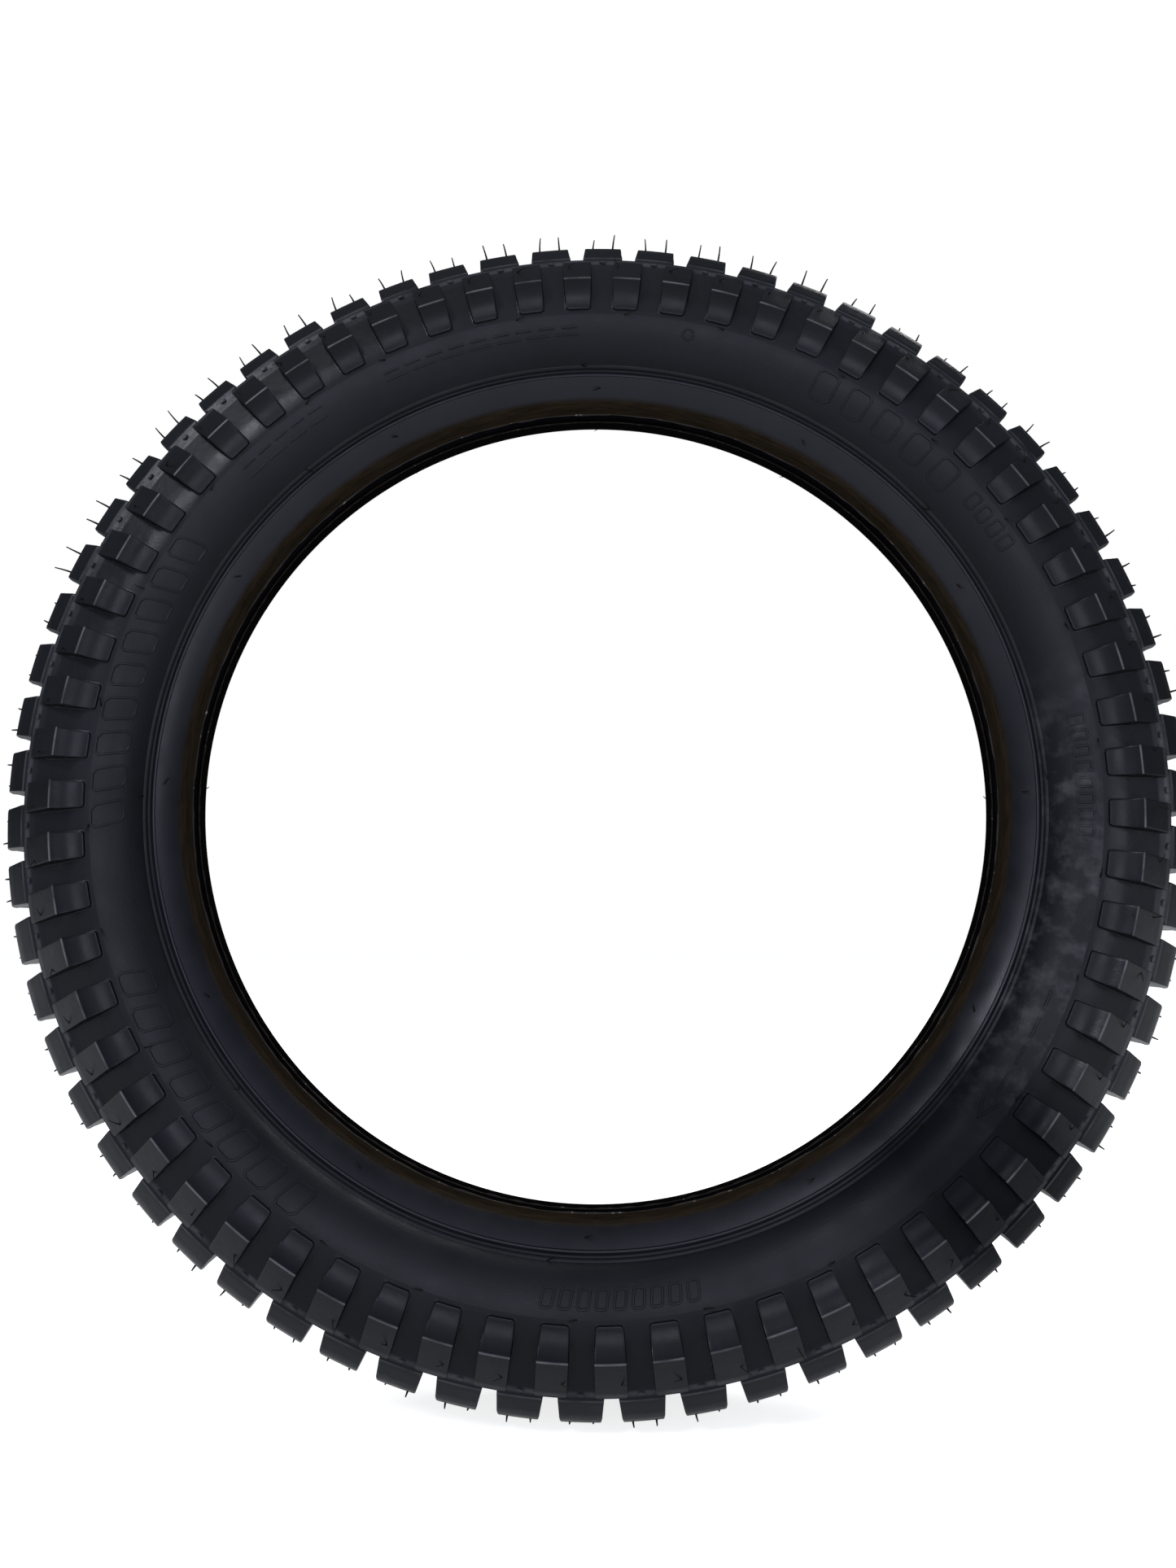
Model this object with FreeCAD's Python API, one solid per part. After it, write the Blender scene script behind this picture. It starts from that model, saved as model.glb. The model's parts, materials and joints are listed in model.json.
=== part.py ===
import FreeCAD, Part
import math
import os

# A bare bias-ply motorcycle tyre with a block tread, in millimetres.
# The origin is the centre of the tyre. +Y is the wheel axis and +Z is up.
# A section point is (y, r): y along the axis from the mid-plane, r the radius from the axis.
# Every piece is a section turned round the +Y axis. "left" is the +Y side, "right" the -Y side.
# Angles in the section are degrees, from the +Y direction towards larger radius.

# Driving dimensions of the section
SEAT_R = 178.55          # bead seat radius of a 14-inch motorcycle rim
CROWN_TOP_R = 255.9      # radius over the tread blocks
BLOCK_TOP_ARC_R = 43.4   # the block tops lie on one arc across the tyre
FLOOR_CROWN_R = 247.0    # radius of the tread groove floor at the mid-plane
FLOOR_ARC_R = 36.4       # the groove floor's arc across the tyre
SHOULDER_EDGE_R = 221.0  # radius of the crisp outer edge of the shoulder lugs
SIDE_CENTRE = (16.2, 210.6)   # centre of the sidewall arcs, half section
SIDE_OUTER_R = 20.2      # sidewall outer surface about SIDE_CENTRE
SIDE_INNER_R = 15.5      # cavity surface about SIDE_CENTRE

# Casing build-up: (depth from the cavity surface, crown radius)
LINER_IN = (0.0, 239.9)
PLY_1_IN = (0.7, 240.7)
PLY_2_IN = (1.35, 241.45)
CASING_OUT = (2.0, 242.2)
BREAKER_1_OUT = (2.8, 243.0)
BREAKER_2_OUT = (3.6, 243.8)
BASE_OUT = (3.4, 245.0)
BREAKER_1_HALF = 25.0    # half width of the inner breaker
BREAKER_2_HALF = 22.0    # half width of the outer breaker
BASE_HALF = 30.0         # half width of the undertread
CAP_END = -8.0           # angle about SIDE_CENTRE where the tread compound stops
WING_END = -14.0         # angle where the shoulder wing stops

# Bead
TOE_Y = 3.4              # half gap between the two bead toes
SLOPE = 25.1             # rise of the casing from the bead nose towards the sidewall
NOSE_R = 4.0             # rounded inner corner of the bead
WRAP_R = 2.5             # radius of the wraps' corners at the bead base, at the bead surface
BUNDLE_FOOT = SEAT_R + WRAP_R
BUNDLE_Y = (5.9, 9.9)    # corner centres of the wire bundle
BUNDLE_TOP = 184.9
FLIPPER_DEPTH = 2.4      # depth of the bundle surface below the bead surface
BUNDLE_CORNER_R = WRAP_R - FLIPPER_DEPTH
CHAFER_TOP_R = 183.0     # where the chafer ends and the liner starts, inside the bead
FLIPPER_RISE = 5.0       # lengths of the turned-up ends, along the 45-degree outer leg
PLY_2_RISE = 8.0
PLY_1_RISE = 10.5
FILLER_TIP_Y = 22.5
WIRE_R = 0.45
WIRE_COLUMNS = 4
WIRE_ROWS = 4
WIRE_STEP_Y = 1.02
WIRE_STEP_R = 0.98

# Bead flange and the two thin moulded lines above it
FLANGE_R = 31.56
FLANGE_START = -60.0
FLANGE_END = -36.6
FLANGE_RIDGE = ((21.7, 188.3), (20.9, 188.9))
GROOVE_FLOOR = (20.5, 189.75)
RIM_LINE = ((20.9, 190.6), (21.9, 190.35))
RIM_LINE_END = -70.2     # angle about SIDE_CENTRE where the rim line leaves the sidewall

# Raised floor between the shoulder lugs
PAD_TOP = (31.0, 235.6)
PAD_INNER_Y = 28.5
PAD_FOOT_R = 218.2

# Tread pattern: every row has one block to a pitch, and the second row is half a pitch on
PITCHES = 64
PITCH = 360.0 / PITCHES
LUG_PHASE = 3.9375       # degrees clockwise from the top, seen from the -Y side
INTERMEDIATE_PHASE = LUG_PHASE - PITCH / 2
LUG_HALF_WIDTHS = ((238.5, 6.3), (SHOULDER_EDGE_R, 6.05), (209.5, 5.3))
LUG_CORNER = 1.6         # cut at the lower corners of a lug
LUG_FOOT = ((36.0, 209.5), (37.5, 209.5))
LUG_WALL_MID = (38.55, 215.2)
LUG_INNER_TOP = (31.5, 237.6)
LUG_INNER_FOOT = (29.3, 231.0)
INTERMEDIATE_NEAR = ((31.9, 233.5), (31.5, 238.5))
INTERMEDIATE_CREST_Y = 26.0
INTERMEDIATE_INNER_Y = 12.0
INTERMEDIATE_HALF_WIDTHS = ((CROWN_TOP_R, 7.7), (240.0, 8.7), (231.0, 9.4))
CENTRE_HALF_Y = 10.0
CENTRE_HALF_WIDTHS = ((CROWN_TOP_R, 7.2), (246.0, 8.2), (243.0, 8.6))
BLOCK_ROOT = 1.2         # how far a block runs into the ring under it
WALL_ROOT = 3.6          # how far an intermediate block's outer wall runs down into the ring
DRAFT = 1.2              # a block's walls lean out by this much across the tyre
CUT_MARGIN = 6.0         # how far the cutter between two side walls runs past their ends
CLOSED_GAP = 1e-6        # an outline's ends closer than this already meet

AXIS = FreeCAD.Vector(0, 1, 0)
CENTRE = FreeCAD.Vector(0, 0, 0)


def nose_centre():
    """The centre of the rounded inner corner, where the leg and the slope are both tangent."""
    slope = math.radians(SLOPE)
    y = TOE_Y + NOSE_R
    run = math.sin(slope) * (y - SIDE_CENTRE[0]) - SIDE_INNER_R - NOSE_R
    return (y, SIDE_CENTRE[1] + run / math.cos(slope))


NOSE = nose_centre()


def polar(centre, radius, angle):
    """The section point at an angle about a centre."""
    turn = math.radians(angle)
    return (centre[0] + radius * math.cos(turn), centre[1] + radius * math.sin(turn))


def place(point):
    """A section point as a vector in the plane X = 0."""
    return FreeCAD.Vector(0, point[0], point[1])


def straight(start, end):
    """A straight step of an outline: its two ends and its edge."""
    return (start, end, Part.LineSegment(place(start), place(end)).toShape())


def through(start, middle, end):
    """A round step through three points."""
    return (start, end, Part.Arc(place(start), place(middle), place(end)).toShape())


def bend(centre, radius, first, last):
    """A round step about a centre, from one angle to another."""
    middle = polar(centre, radius, (first + last) / 2)
    return through(polar(centre, radius, first), middle, polar(centre, radius, last))


def chain(points):
    """Straight steps through a list of points."""
    return [straight(start, end) for start, end in zip(points, points[1:])]


def section(steps):
    """The flat face inside a closed outline; a gap between its ends is closed with a straight."""
    start = steps[0][0]
    end = steps[-1][1]
    if math.dist(start, end) > CLOSED_GAP:
        steps = steps + [straight(end, start)]
    return Part.Face(Part.Wire([step[2] for step in steps]))


def backwards(steps):
    """The same steps walked the other way."""
    return [(end, start, edge) for start, end, edge in reversed(steps)]


def joined(first, second):
    """Two paths walked as one outline: out along the first, back along the second."""
    cap = straight(first[-1][1], second[-1][1])
    return first + [cap] + backwards(second)


def turned(face):
    """The solid ring that a section sweeps round the axis."""
    return face.revolve(CENTRE, AXIS, 360)


def mirrored(shape):
    """The same shape on the other side of the mid-plane."""
    return shape.mirror(CENTRE, AXIS)


def whole(half):
    """One ring from its left half and the mirror image of it."""
    return half.fuse(mirrored(half)).removeSplitter()


def save(name, shape):
    """Write one node."""
    shape.exportStep(os.path.join("parts", name + ".step"))
    print("%-24s solids %3d  volume %.1f cm3  valid %s"
          % (name, len(shape.Solids), shape.Volume / 1000, shape.isValid()))


def save_pair(name, left_shape):
    """Write a left node and its mirror image on the right."""
    save(name + "_left", left_shape)
    save(name + "_right", mirrored(left_shape))


class CasingLine:
    """A line of the casing at one depth: over the crown, down the side and round the bead."""

    def __init__(self, layer):
        self.depth, crown_r = layer
        self.side_r = SIDE_INNER_R + self.depth
        reach = crown_r - self.side_r
        arm, side_r = SIDE_CENTRE
        self.crown_c = (reach ** 2 - side_r ** 2 - arm ** 2) / (2 * (reach - side_r))
        self.crown_arc_r = crown_r - self.crown_c
        self.join = math.degrees(math.atan2(side_r - self.crown_c, arm))

    def crown(self, y_from, y_to):
        """The crown arc between two distances from the mid-plane."""
        first = math.degrees(math.acos(y_from / self.crown_arc_r))
        last = math.degrees(math.acos(y_to / self.crown_arc_r))
        return [bend((0, self.crown_c), self.crown_arc_r, first, last)]

    def shoulder(self, y_from):
        """The crown arc from a distance out to where the sidewall arc takes over."""
        first = math.degrees(math.acos(y_from / self.crown_arc_r))
        return [bend((0, self.crown_c), self.crown_arc_r, first, self.join)]

    def side(self, first, last):
        """The sidewall arc between two angles."""
        return [bend(SIDE_CENTRE, self.side_r, first, last)]

    def slope_top(self):
        return polar(SIDE_CENTRE, self.side_r, SLOPE - 90)

    def nose(self, angle):
        return polar(NOSE, NOSE_R - self.depth, angle)

    def leg(self, radius):
        return (TOE_Y + self.depth, radius)

    def heel(self, angle):
        return polar((BUNDLE_Y[1], BUNDLE_FOOT), WRAP_R - self.depth, angle)

    def turn_up(self, rise):
        """A point on the 45-degree outer leg."""
        start = self.heel(-45)
        along = rise * math.sqrt(0.5)
        return (start[0] + along, start[1] + along)

    def wrap(self):
        """From the leg's foot round the toe corner, base and heel corner."""
        corner_r = WRAP_R - self.depth
        toe = bend((BUNDLE_Y[0], BUNDLE_FOOT), corner_r, 180, 270)
        heel = bend((BUNDLE_Y[1], BUNDLE_FOOT), corner_r, -90, -45)
        return [toe, straight(toe[1], heel[0]), heel]

    def nose_to_leg(self, radius):
        """Round the bead nose and down the inner leg."""
        nose = bend(NOSE, NOSE_R - self.depth, SLOPE + 90, 180)
        return [nose, straight(nose[1], self.leg(radius))]

    def down_to_leg(self, radius):
        """From the mid-plane over the crown and side to the inner leg."""
        steps = self.shoulder(0) + self.side(self.join, SLOPE - 90)
        steps.append(straight(self.slope_top(), self.nose(SLOPE + 90)))
        return steps + self.nose_to_leg(radius)

    def round_to_turn_up(self, rise):
        """From the mid-plane right round the bead to a turned-up end."""
        steps = self.down_to_leg(BUNDLE_FOOT) + self.wrap()
        steps.append(straight(self.heel(-45), self.turn_up(rise)))
        return steps


liner_in = CasingLine(LINER_IN)
ply_1_in = CasingLine(PLY_1_IN)
ply_2_in = CasingLine(PLY_2_IN)
casing_out = CasingLine(CASING_OUT)
breaker_1_out = CasingLine(BREAKER_1_OUT)
breaker_2_out = CasingLine(BREAKER_2_OUT)
base_out = CasingLine(BASE_OUT)
bundle_line = CasingLine((FLIPPER_DEPTH, CASING_OUT[1]))


def inner_liner():
    """Rubber liner over the whole cavity surface."""
    outline = joined(liner_in.down_to_leg(CHAFER_TOP_R), ply_1_in.down_to_leg(CHAFER_TOP_R))
    return whole(turned(section(outline)))


def carcass_ply(inner, outer, rise):
    """One cord ply, from turned-up end to turned-up end."""
    outline = joined(inner.round_to_turn_up(rise), outer.round_to_turn_up(rise))
    return whole(turned(section(outline)))


def breaker(inner, outer, half_width):
    """A cord strip under the tread."""
    outline = joined(inner.crown(0, half_width), outer.crown(0, half_width))
    return whole(turned(section(outline)))


def tread_base():
    """Undertread: over both breakers, and down onto the casing past their edges."""
    steps = base_out.crown(0, BASE_HALF)
    on_casing = casing_out.crown(BASE_HALF, BREAKER_1_HALF)
    on_breaker_1 = breaker_1_out.crown(BREAKER_1_HALF, BREAKER_2_HALF)
    on_breaker_2 = breaker_2_out.crown(BREAKER_2_HALF, 0)
    for run in (on_casing, on_breaker_1, on_breaker_2):
        steps.append(straight(steps[-1][1], run[0][0]))
        steps.extend(run)
    return whole(turned(section(steps)))


def shoulder_wing():
    """Rubber wedge from the undertread's edge down between casing and sidewall."""
    inner = casing_out.shoulder(BASE_HALF) + casing_out.side(casing_out.join, WING_END)
    outer = base_out.shoulder(BASE_HALF) + base_out.side(base_out.join, WING_END)
    return turned(section(joined(inner, outer)))


def filler_tip():
    """The filler's thin end, on the casing's slope."""
    start = casing_out.nose(SLOPE + 90)
    return (FILLER_TIP_Y, start[1] + (FILLER_TIP_Y - start[0]) * math.tan(math.radians(SLOPE)))


def rim_line_steps():
    """The rim line, from the sidewall arc down to the groove floor."""
    start = polar(SIDE_CENTRE, SIDE_OUTER_R, RIM_LINE_END)
    foot, crest = RIM_LINE
    return [through(start, crest, foot), straight(foot, GROOVE_FLOOR)]


def sidewall():
    """Sidewall rubber from the tread compound's edge to the groove above the flange."""
    steps = [bend(SIDE_CENTRE, SIDE_OUTER_R, CAP_END, RIM_LINE_END)]
    steps += rim_line_steps()
    steps += chain([GROOVE_FLOOR, ply_1_in.turn_up(PLY_1_RISE), ply_2_in.turn_up(PLY_1_RISE),
                    filler_tip(), casing_out.slope_top()])
    steps += casing_out.side(SLOPE - 90, WING_END)
    steps.append(straight(steps[-1][1], polar(SIDE_CENTRE, base_out.side_r, WING_END)))
    steps += base_out.side(WING_END, CAP_END)
    return turned(section(steps))


def flange_steps():
    """The visible bead surface from the toe to the groove floor."""
    toe = (TOE_Y, SEAT_R)
    heel_centre = (BUNDLE_Y[1], BUNDLE_FOOT)
    flange_centre = polar(heel_centre, WRAP_R - FLANGE_R, FLANGE_START)
    heel = bend(heel_centre, WRAP_R, -90, FLANGE_START)
    flange = bend(flange_centre, FLANGE_R, FLANGE_START, FLANGE_END)
    crest, foot = FLANGE_RIDGE
    steps = [straight((TOE_Y, CHAFER_TOP_R), toe), straight(toe, heel[0]), heel, flange]
    return steps + [through(flange[1], crest, foot), straight(foot, GROOVE_FLOOR)]


def bead_chafer():
    """The strip that wraps the bead base and forms the flange."""
    inner = [straight(ply_1_in.leg(CHAFER_TOP_R), ply_1_in.leg(BUNDLE_FOOT))] + ply_1_in.wrap()
    inner.append(straight(ply_1_in.heel(-45), ply_1_in.turn_up(PLY_1_RISE)))
    return turned(section(joined(flange_steps(), inner)))


def bead_flipper():
    """Fabric wrapped round the wire bundle."""
    outlines = []
    for line in (casing_out, bundle_line):
        steps = line.nose_to_leg(BUNDLE_FOOT) + line.wrap()
        steps.append(straight(line.heel(-45), line.turn_up(FLIPPER_RISE)))
        outlines.append(steps)
    return turned(section(joined(*outlines)))


def bead_filler():
    """Hard rubber apex above and beside the wire bundle."""
    right = BUNDLE_Y[1] + BUNDLE_CORNER_R
    leg_top = bundle_line.leg(NOSE[1])
    steps = [bend(NOSE, NOSE_R - FLIPPER_DEPTH, 180, SLOPE + 90)]
    steps += chain([steps[0][1], casing_out.nose(SLOPE + 90), filler_tip(),
                    ply_2_in.turn_up(PLY_1_RISE), ply_2_in.turn_up(PLY_2_RISE),
                    casing_out.turn_up(PLY_2_RISE), casing_out.turn_up(FLIPPER_RISE),
                    bundle_line.turn_up(FLIPPER_RISE), bundle_line.heel(-45)])
    steps.append(bend((BUNDLE_Y[1], BUNDLE_FOOT), BUNDLE_CORNER_R, -45, 0))
    steps += chain([steps[-1][1], (right, BUNDLE_TOP), bundle_line.leg(BUNDLE_TOP), leg_top])
    return turned(section(steps))


def wire_centres():
    """Section centres of the bead wires, in a grid that fills the bundle."""
    middle_y = sum(BUNDLE_Y) / 2
    middle_r = (SEAT_R + FLIPPER_DEPTH + BUNDLE_TOP) / 2
    for column in range(WIRE_COLUMNS):
        for row in range(WIRE_ROWS):
            y = middle_y + (column - (WIRE_COLUMNS - 1) / 2) * WIRE_STEP_Y
            r = middle_r + (row - (WIRE_ROWS - 1) / 2) * WIRE_STEP_R
            yield (y, r)


def bead_wires():
    """Separate steel wire rings."""
    return Part.Compound([
        Part.makeTorus(r, WIRE_R, FreeCAD.Vector(0, y, 0), AXIS) for y, r in wire_centres()])


def bead_insulation():
    """The rubber that holds the wires in one bundle."""
    left, right = BUNDLE_Y[0] - BUNDLE_CORNER_R, BUNDLE_Y[1] + BUNDLE_CORNER_R
    toe = bend((BUNDLE_Y[0], BUNDLE_FOOT), BUNDLE_CORNER_R, 180, 270)
    heel = bend((BUNDLE_Y[1], BUNDLE_FOOT), BUNDLE_CORNER_R, -90, 0)
    steps = [toe, straight(toe[1], heel[0]), heel]
    steps += chain([heel[1], (right, BUNDLE_TOP), (left, BUNDLE_TOP), toe[0]])
    return turned(section(steps)).cut(bead_wires().Solids)


def floor_point(y):
    """A point on the groove floor's arc."""
    return (y, FLOOR_CROWN_R - FLOOR_ARC_R + math.sqrt(FLOOR_ARC_R ** 2 - y ** 2))


def block_top_point(y):
    """A point on the arc that the block tops lie on."""
    centre_r = CROWN_TOP_R - BLOCK_TOP_ARC_R
    return (y, centre_r + math.sqrt(BLOCK_TOP_ARC_R ** 2 - y ** 2))


def top_arc(y_from, y_to):
    """A step along the block-top arc."""
    middle = block_top_point((y_from + y_to) / 2)
    return through(block_top_point(y_from), middle, block_top_point(y_to))


def cap_ring():
    """The tread compound without its blocks."""
    centre = (0, FLOOR_CROWN_R - FLOOR_ARC_R)
    inner_edge = floor_point(PAD_INNER_Y)
    foot_angle = math.degrees(math.asin((PAD_FOOT_R - centre[1]) / FLOOR_ARC_R))
    edge_angle = math.degrees(math.acos(PAD_INNER_Y / FLOOR_ARC_R))
    foot = polar(centre, FLOOR_ARC_R, foot_angle)
    steps = [bend(centre, FLOOR_ARC_R, 90, edge_angle)]
    steps += chain([inner_edge, PAD_TOP, foot])
    steps.append(bend(centre, FLOOR_ARC_R, foot_angle, 0))
    steps.append(bend(SIDE_CENTRE, SIDE_OUTER_R, 0, CAP_END))
    inner = base_out.shoulder(0) + base_out.side(base_out.join, CAP_END)
    return whole(turned(section(joined(steps, inner))))


def shoulder_edge():
    """The outer edge of the block-top arc."""
    centre_r = CROWN_TOP_R - BLOCK_TOP_ARC_R
    rise = SHOULDER_EDGE_R - centre_r
    return (math.sqrt(BLOCK_TOP_ARC_R ** 2 - rise ** 2), SHOULDER_EDGE_R)


def lug_section():
    """Shoulder lug: hollow outer wall, crisp edge, flat top facet, short inner wall."""
    edge = shoulder_edge()
    inner_foot, outer_foot = LUG_FOOT
    upper_root = (PAD_INNER_Y, floor_point(PAD_INNER_Y)[1] - BLOCK_ROOT)
    lower_root = (FLOOR_ARC_R - BLOCK_ROOT, PAD_FOOT_R)
    steps = [through(outer_foot, LUG_WALL_MID, edge)]
    steps += chain([edge, LUG_INNER_TOP, LUG_INNER_FOOT, upper_root, lower_root,
                    inner_foot, outer_foot])
    return section(steps)


def intermediate_section():
    """Intermediate block: short outer wall, leaning facet, arched top, inner wall."""
    foot, near = INTERMEDIATE_NEAR
    inner_top = block_top_point(INTERMEDIATE_INNER_Y)
    floor_y = INTERMEDIATE_INNER_Y - DRAFT
    inner_root = (floor_y, floor_point(floor_y)[1] - BLOCK_ROOT)
    middle_root = floor_point((floor_y + foot[0]) / 2)
    steps = chain([foot, near, block_top_point(INTERMEDIATE_CREST_Y)])
    steps.append(top_arc(INTERMEDIATE_CREST_Y, INTERMEDIATE_INNER_Y))
    steps += chain([inner_top, inner_root])
    outer_root = (foot[0] - BLOCK_ROOT, foot[1] - WALL_ROOT)
    steps.append(through(inner_root, (middle_root[0], middle_root[1] - BLOCK_ROOT), outer_root))
    return section(steps)


def centre_section():
    """Centre block: arched top and two leaning walls."""
    foot_y = CENTRE_HALF_Y + DRAFT
    foot_r = floor_point(foot_y)[1] - BLOCK_ROOT
    crown_root = (0, FLOOR_CROWN_R - BLOCK_ROOT)
    steps = [top_arc(-CENTRE_HALF_Y, CENTRE_HALF_Y)]
    steps.append(straight(steps[0][1], (foot_y, foot_r)))
    steps.append(through((foot_y, foot_r), crown_root, (-foot_y, foot_r)))
    return section(steps)


def side_cutter(half_widths, y_from, y_to):
    """The space between a block's two side walls, widths given at several radii."""
    right = [(width, radius) for radius, width in half_widths]
    top_x, top_z = right[0]
    foot_x, foot_z = right[-1]
    outline = [(top_x, top_z + CUT_MARGIN)] + right + [(foot_x, foot_z - CUT_MARGIN)]
    outline += [(-x, z) for x, z in reversed(outline)]
    corners = [FreeCAD.Vector(x, y_from, z) for x, z in outline]
    face = Part.Face(Part.makePolygon(corners + corners[:1]))
    return face.extrude(FreeCAD.Vector(0, y_to - y_from, 0))


def lug_cutter():
    """The space between a lug's side walls, with its lower corners cut off."""
    low_r, low_half = LUG_HALF_WIDTHS[-1]
    corner = ((low_r + LUG_CORNER, low_half), (low_r, low_half - LUG_CORNER))
    return side_cutter(LUG_HALF_WIDTHS[:-1] + corner, 0, SHOULDER_EDGE_R)


def block(face, cutter):
    """A section turned through a little over one pitch and cut to its side walls."""
    sector = face.revolve(CENTRE, AXIS, 2 * PITCH)
    sector.rotate(CENTRE, AXIS, -PITCH)
    return sector.common(cutter)


def all_round(shape, phase):
    """Copies of a block at every pitch; the angle runs clockwise seen from the -Y side."""
    copies = []
    for index in range(PITCHES):
        copy = shape.copy()
        copy.rotate(CENTRE, AXIS, phase + index * PITCH)
        copies.append(copy)
    return copies


def tread_blocks():
    """Every block of the tread, each running a little into the ring."""
    lug = block(lug_section(), lug_cutter())
    intermediate = block(intermediate_section(),
                         side_cutter(INTERMEDIATE_HALF_WIDTHS, 0, CROWN_TOP_R))
    centre = block(centre_section(), side_cutter(CENTRE_HALF_WIDTHS, -CROWN_TOP_R, CROWN_TOP_R))
    blocks = all_round(centre, LUG_PHASE)
    for shape, phase in ((lug, LUG_PHASE), (intermediate, INTERMEDIATE_PHASE)):
        blocks += all_round(shape, phase)
        blocks += all_round(mirrored(shape), phase)
    return blocks


def tread_cap():
    """The tread compound and its blocks, moulded in one piece."""
    return cap_ring().multiFuse(tread_blocks())


os.makedirs("parts", exist_ok=True)
save("inner_liner", inner_liner())
save("carcass_ply_inner", carcass_ply(ply_1_in, ply_2_in, PLY_1_RISE))
save("carcass_ply_outer", carcass_ply(ply_2_in, casing_out, PLY_2_RISE))
save("breaker_inner", breaker(casing_out, breaker_1_out, BREAKER_1_HALF))
save("breaker_outer", breaker(breaker_1_out, breaker_2_out, BREAKER_2_HALF))
save("tread_base", tread_base())
save_pair("shoulder_wing", shoulder_wing())
save_pair("sidewall", sidewall())
save_pair("bead_chafer", bead_chafer())
save_pair("bead_flipper", bead_flipper())
save_pair("bead_filler", bead_filler())
save_pair("bead_insulation", bead_insulation())
save_pair("bead_wires", bead_wires())
save("tread_cap", tread_cap())
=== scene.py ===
import json
import math
import random

import bmesh
import bpy
import numpy as np
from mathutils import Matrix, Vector


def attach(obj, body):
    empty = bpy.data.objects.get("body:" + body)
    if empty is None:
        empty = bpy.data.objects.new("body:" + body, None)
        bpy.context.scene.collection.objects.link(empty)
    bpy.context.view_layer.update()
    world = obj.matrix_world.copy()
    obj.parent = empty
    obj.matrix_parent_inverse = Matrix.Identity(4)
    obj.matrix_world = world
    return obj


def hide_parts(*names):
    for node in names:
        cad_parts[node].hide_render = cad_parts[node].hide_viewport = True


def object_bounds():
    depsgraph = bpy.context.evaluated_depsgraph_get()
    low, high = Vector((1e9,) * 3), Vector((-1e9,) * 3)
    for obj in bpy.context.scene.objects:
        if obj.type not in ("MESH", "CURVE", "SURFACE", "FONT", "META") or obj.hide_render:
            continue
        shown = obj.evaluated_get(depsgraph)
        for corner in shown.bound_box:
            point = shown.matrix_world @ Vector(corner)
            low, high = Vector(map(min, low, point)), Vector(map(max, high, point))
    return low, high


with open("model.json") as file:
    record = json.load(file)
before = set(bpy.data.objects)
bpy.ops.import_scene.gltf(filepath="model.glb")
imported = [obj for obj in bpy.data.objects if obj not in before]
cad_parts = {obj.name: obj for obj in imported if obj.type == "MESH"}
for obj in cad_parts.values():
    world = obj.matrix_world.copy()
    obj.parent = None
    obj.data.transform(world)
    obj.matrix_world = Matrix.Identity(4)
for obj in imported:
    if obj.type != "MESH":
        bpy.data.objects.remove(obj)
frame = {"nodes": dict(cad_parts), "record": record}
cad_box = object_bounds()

# A bare block-tread motorcycle tyre, standing upright. +Y is the wheel axis and +Z is up.
# The scene is in metres. Section and relief sizes are named in millimetres, as on a drawing,
# and new_object turns them into metres.
# A section point is (y, r): y along the axis from the mid-plane, r the radius from the axis.
# Angles round the tyre run clockwise from the top, seen from the -Y side.

MM = 0.001
CROWN_R = cad_box[1].z / MM
SEAT_R = frame["record"]["mounts"][0]["dims"]["r_mm"]
SEGMENTS = 320               # steps of every ring, so that neighbouring rings meet point to point

# Tread floor and block-top arcs across the tyre
FLOOR_CROWN_R = CROWN_R - 8.9
FLOOR_ARC_R = 36.4
FLOOR_C = (0.0, FLOOR_CROWN_R - FLOOR_ARC_R)
TOP_ARC_R = 43.4
TOP_C = (0.0, CROWN_R - TOP_ARC_R)
PAD_INNER_Y = 28.5           # raised floor between the shoulder lugs
PAD_TOP = (31.0, 235.6)
PAD_FOOT_R = 218.2

# Casing layers, as radii about the centre of the sidewall arcs
SIDE_C = (16.2, FLOOR_C[1])
SIDE_R = 20.2
BASE_R = 18.9                # between tread compound and undertread
CASING_R = 17.5              # between sidewall rubber and plies
BASE_CROWN_R = CROWN_R - 10.9
CAP_END = -8.0               # angles on the sidewall arcs: end of the tread compound
WING_END = -14.0             # end of the shoulder wing
RIM_LINE_END = -70.2         # where the rim line leaves the sidewall
SLOPE_END = -64.9            # where the casing runs on straight towards the bead

# Bead
TOE_Y = 3.4
PLY_DEPTH = 0.7
BASE_CORNER_R = 2.5
BASE_CORNERS_Y = (5.9, 9.9)  # centres of the rounded toe and heel
CHAFER_TOP_R = 183.0
FLANGE_R = 31.56
FLANGE_ANGLES = (-60.0, -36.6)
FLANGE_CREST = (21.7, 188.3)
FLANGE_FOOT = (20.9, 188.9)
GROOVE_FLOOR = (20.5, 189.75)
RIM_LINE_FOOT = (20.9, 190.6)
RIM_LINE_CREST = (21.9, 190.35)
TURN_UP = 10.5
FILLER_TIP = (22.5, 196.42)

# Tread pattern
PITCHES = 64
PITCH = 360.0 / PITCHES
LUG_PHASE = 3.9375
INTERMEDIATE_PHASE = LUG_PHASE - PITCH / 2
EDGE_R = 221.0               # radius of the crisp outer edge of the lugs
LUG_EDGE = (math.sqrt(TOP_ARC_R ** 2 - (EDGE_R - TOP_C[1]) ** 2), EDGE_R)
LUG_INNER_TOP = (31.5, 237.6)
LUG_INNER_FOOT = (30.3, 234.94)
LUG_LOW = (37.5, 209.5)
LUG_WALL_MID = (38.55, 215.2)
LUG_BEVEL = (0.06, 0.16)     # shares of the facet's and wall's steps that the edge bevel takes
LUG_FACET_SHARE = 0.6        # share of the lug's foot that lies under the facet
LUG_WIDTHS = ((209.5, 5.3), (EDGE_R, 6.05), (238.5, 6.3))    # (radius, half width)
NEAR_TOP = (31.5, 238.5)
NEAR_FOOT = (31.72, 232.9)
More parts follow.
